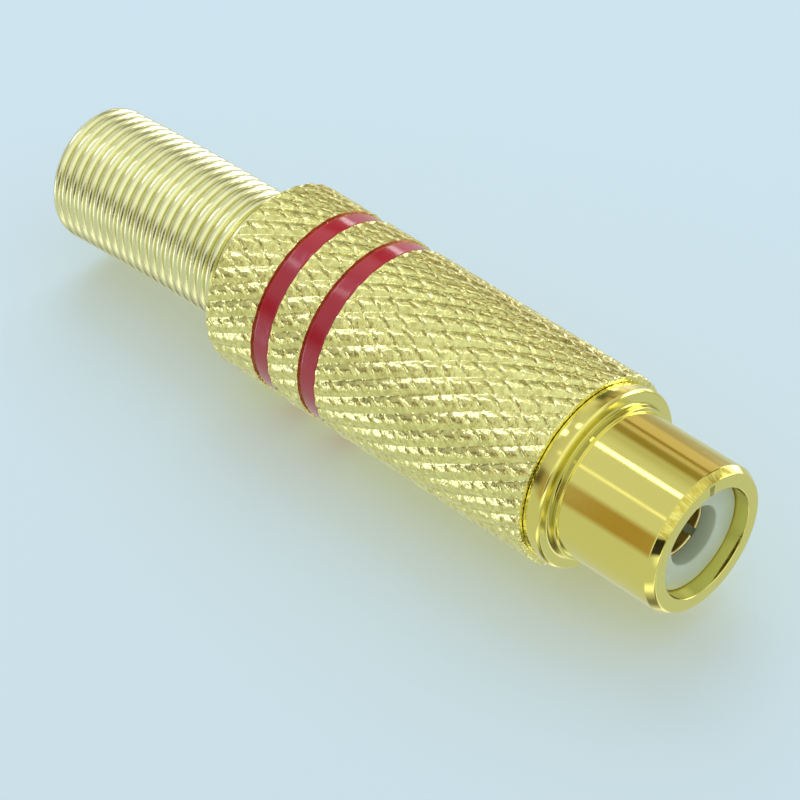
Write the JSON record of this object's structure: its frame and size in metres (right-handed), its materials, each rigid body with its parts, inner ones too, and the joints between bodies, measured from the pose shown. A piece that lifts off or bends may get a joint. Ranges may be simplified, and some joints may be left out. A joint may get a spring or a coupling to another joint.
{
  "type": "in-line phono socket",
  "caption": "Gold-plated in-line phono socket for a cable: plain barrel with a white insert, knurled screw-on shell with two red enamel bands, and a coil spring strain relief.",
  "frame": {"origin": "centre of the socket's mouth face, on the surface that the socket stands on", "axes": "+Z from the mouth along the socket's axis to the cable's end; +Y is the side that the spring's free end droops to"},
  "size_m": [0.011, 0.0108, 0.0448],
  "materials": {
    "polished_gold": "polished gold plate on turned brass",
    "knurled_gold": "bright gold plate over a diamond knurl",
    "spring_gold": "bright gold plate on drawn wire",
    "contact_gold": "thin gold plate",
    "white_insert": "moulded, slightly satin",
    "brown_fibre": "pressed fibre",
    "red_enamel": "glossy enamel",
    "sleeve_film": "thin plastic tube"
  },
  "bodies": {
    "jack": {"socket_body": "polished_gold", "front_insulator": "white_insert", "centre_contact": "contact_gold", "ground_tag": "contact_gold", "rear_washer": "brown_fibre"},
    "spring": {"relief_spring": "spring_gold"},
    "shell": {"knurled_shell": "knurled_gold", "front_band": "red_enamel", "rear_band": "red_enamel", "insulating_sleeve": "sleeve_film"}
  },
  "joints": [
    {"name": "shell_advance", "type": "slide", "parent": "jack", "child": "spring", "axis": [0, 0, 1], "range_m": [0, 0.00413]},
    {"name": "shell_turn", "type": "hinge", "parent": "spring", "child": "shell", "pos_m": [0, 0, 0.02], "axis": [0, 0, 1], "range_deg": [0, 1980]}
  ],
  "couplings": [
    {"joint": "shell_advance", "follows": "shell_turn", "m_per_rad": 0.00011937}
  ]
}
